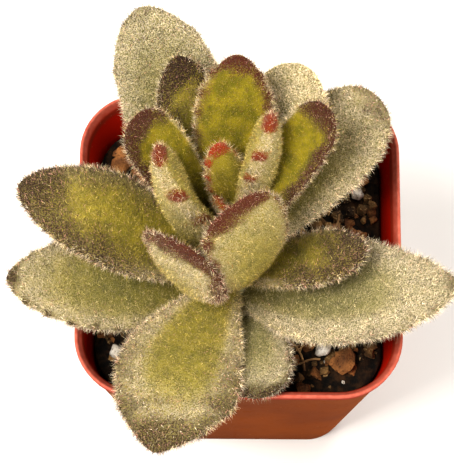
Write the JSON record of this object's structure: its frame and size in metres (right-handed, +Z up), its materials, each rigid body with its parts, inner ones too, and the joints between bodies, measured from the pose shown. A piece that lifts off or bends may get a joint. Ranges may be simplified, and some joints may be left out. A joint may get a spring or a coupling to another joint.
{
  "type": "panda plant in a square nursery pot",
  "caption": "Felted succulent with thick boat-shaped leaves round a short leaning stem, growing in a small tapered square plastic pot of gritty mix.",
  "frame": {"origin": "middle of the pot's underside", "axes": "+Z up; the front of the pot, as the plant is seen from, faces -Y; +X to the viewer's right"},
  "size_m": [0.0875, 0.0812, 0.0995],
  "materials": {
    "pot_plastic": "semi-gloss red-orange plastic",
    "potting_mix": "dark crumbly potting mix",
    "perlite": "white porous grain",
    "bark": "brown bark",
    "stem": "felted pale green-brown stem",
    "old_leaf": "silver-green felt",
    "young_leaf": "yellow-green felt with brown margins"
  },
  "bodies": {
    "root": {"pot": "pot_plastic", "soil": "potting_mix", "perlite_1": "perlite", "perlite_2": "perlite", "perlite_3": "perlite", "perlite_4": "perlite", "bark_chip_1": "bark", "bark_chip_2": "bark", "bark_chip_3": "bark", "bark_chip_4": "bark", "stem": "stem", "leaf_low_left": "old_leaf", "leaf_low_front_right": "old_leaf", "leaf_low_right": "old_leaf", "leaf_low_front": "old_leaf", "leaf_outer_left": "old_leaf", "leaf_outer_back_left": "old_leaf", "leaf_outer_right": "old_leaf", "leaf_outer_back_right": "old_leaf", "leaf_front_left": "old_leaf", "leaf_back_left": "old_leaf", "leaf_back_right": "old_leaf", "leaf_front": "young_leaf", "leaf_inner_left": "young_leaf", "leaf_inner_right": "young_leaf", "leaf_inner_back": "young_leaf", "leaf_crown_left": "young_leaf", "leaf_crown_right": "young_leaf", "leaf_crown_back": "young_leaf", "leaf_bud": "young_leaf"}
  },
  "joints": []
}
